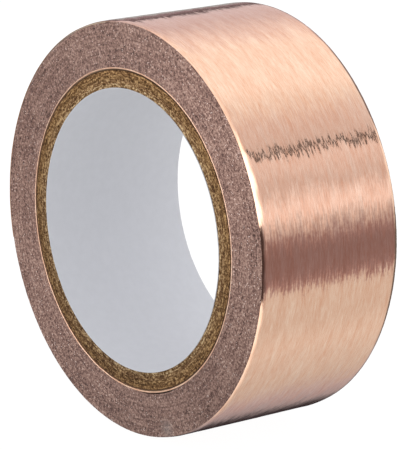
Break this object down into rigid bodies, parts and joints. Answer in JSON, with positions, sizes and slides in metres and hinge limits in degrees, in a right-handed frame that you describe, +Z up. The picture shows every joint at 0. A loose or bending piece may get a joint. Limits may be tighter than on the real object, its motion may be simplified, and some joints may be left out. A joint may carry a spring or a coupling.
{
  "type": "copper foil tape roll",
  "caption": "Wide adhesive copper foil tape wound on a white-lined chipboard core, with a free end that draws off and a closing strip.",
  "frame": {"origin": "centre of the bore, midway between the two side faces", "axes": "+Y along the bore, away from the front side face; +Z up, the roll standing on its rim; the tape's free end is at the top left and runs down the -X side"},
  "size_m": [0.0742, 0.03, 0.0741],
  "materials": {
    "copper_foil": "bright rolled copper with fine lines along the tape",
    "wound_tape": "slit edges of foil and release liner wound together, mauve brown with fine sparkle",
    "chipboard": "cut edge of golden brown chipboard with dark and light fibres",
    "kraft_wrap": "dark kraft paper",
    "white_paper": "smooth calendered white paper",
    "release_liner": "silicone coated paper, satin",
    "acrylic_adhesive": "tacky clear acrylic",
    "crepe_paper": "creped cream masking paper"
  },
  "bodies": {
    "roll": {"bore_liner": "white_paper", "core_ply_1": "chipboard", "core_ply_2": "chipboard", "core_ply_3": "chipboard", "core_ply_4": "chipboard", "core_wrap": "kraft_wrap", "start_adhesive": "acrylic_adhesive", "start_foil": "copper_foil", "wound_pack": "wound_tape"},
    "tail_1": {"tail_foil_1": "copper_foil", "tail_adhesive_1": "acrylic_adhesive", "tail_liner_1": "release_liner"},
    "tail_2": {"tail_foil_2": "copper_foil", "tail_adhesive_2": "acrylic_adhesive", "tail_liner_2": "release_liner"},
    "tail_3": {"tail_foil_3": "copper_foil", "tail_adhesive_3": "acrylic_adhesive", "tail_liner_3": "release_liner"},
    "tail_4": {"tail_foil_4": "copper_foil", "tail_adhesive_4": "acrylic_adhesive", "tail_liner_4": "release_liner", "strip_paper_top": "crepe_paper", "strip_adhesive_top": "acrylic_adhesive"},
    "liner_tip": {"liner_tip": "release_liner"},
    "strip_flap": {"strip_paper_flap": "crepe_paper", "strip_adhesive_flap": "acrylic_adhesive"}
  },
  "joints": [
    {"name": "tail_lift", "type": "hinge", "parent": "roll", "child": "tail_1", "pos_m": [-0.00803, 0, 0.03621], "axis": [0, 1, 0], "range_deg": [0, 20]},
    {"name": "tail_bend_2", "type": "hinge", "parent": "tail_1", "child": "tail_2", "pos_m": [-0.01994, 0, 0.03129], "axis": [0, 1, 0], "range_deg": [0, 20]},
    {"name": "tail_bend_3", "type": "hinge", "parent": "tail_2", "child": "tail_3", "pos_m": [-0.02944, 0, 0.02259], "axis": [0, 1, 0], "range_deg": [0, 20]},
    {"name": "tail_bend_4", "type": "hinge", "parent": "tail_3", "child": "tail_4", "pos_m": [-0.0354, 0, 0.01116], "axis": [0, 1, 0], "range_deg": [0, 20]},
    {"name": "liner_peel", "type": "hinge", "parent": "tail_4", "child": "liner_tip", "pos_m": [-0.03664, 0, 0.00482], "axis": [0, 1, 0], "range_deg": [-50, 0]},
    {"name": "flap_peel", "type": "hinge", "parent": "tail_4", "child": "strip_flap", "pos_m": [-0.03623, 0, -0.00803], "axis": [0, 1, 0], "range_deg": [0, 110]}
  ],
  "couplings": [
    {"joint": "tail_bend_2", "follows": "tail_lift", "ratio": 1},
    {"joint": "tail_bend_3", "follows": "tail_lift", "ratio": 1},
    {"joint": "tail_bend_4", "follows": "tail_lift", "ratio": 1},
    {"joint": "liner_peel", "follows": "tail_lift", "ratio": -2.5}
  ]
}
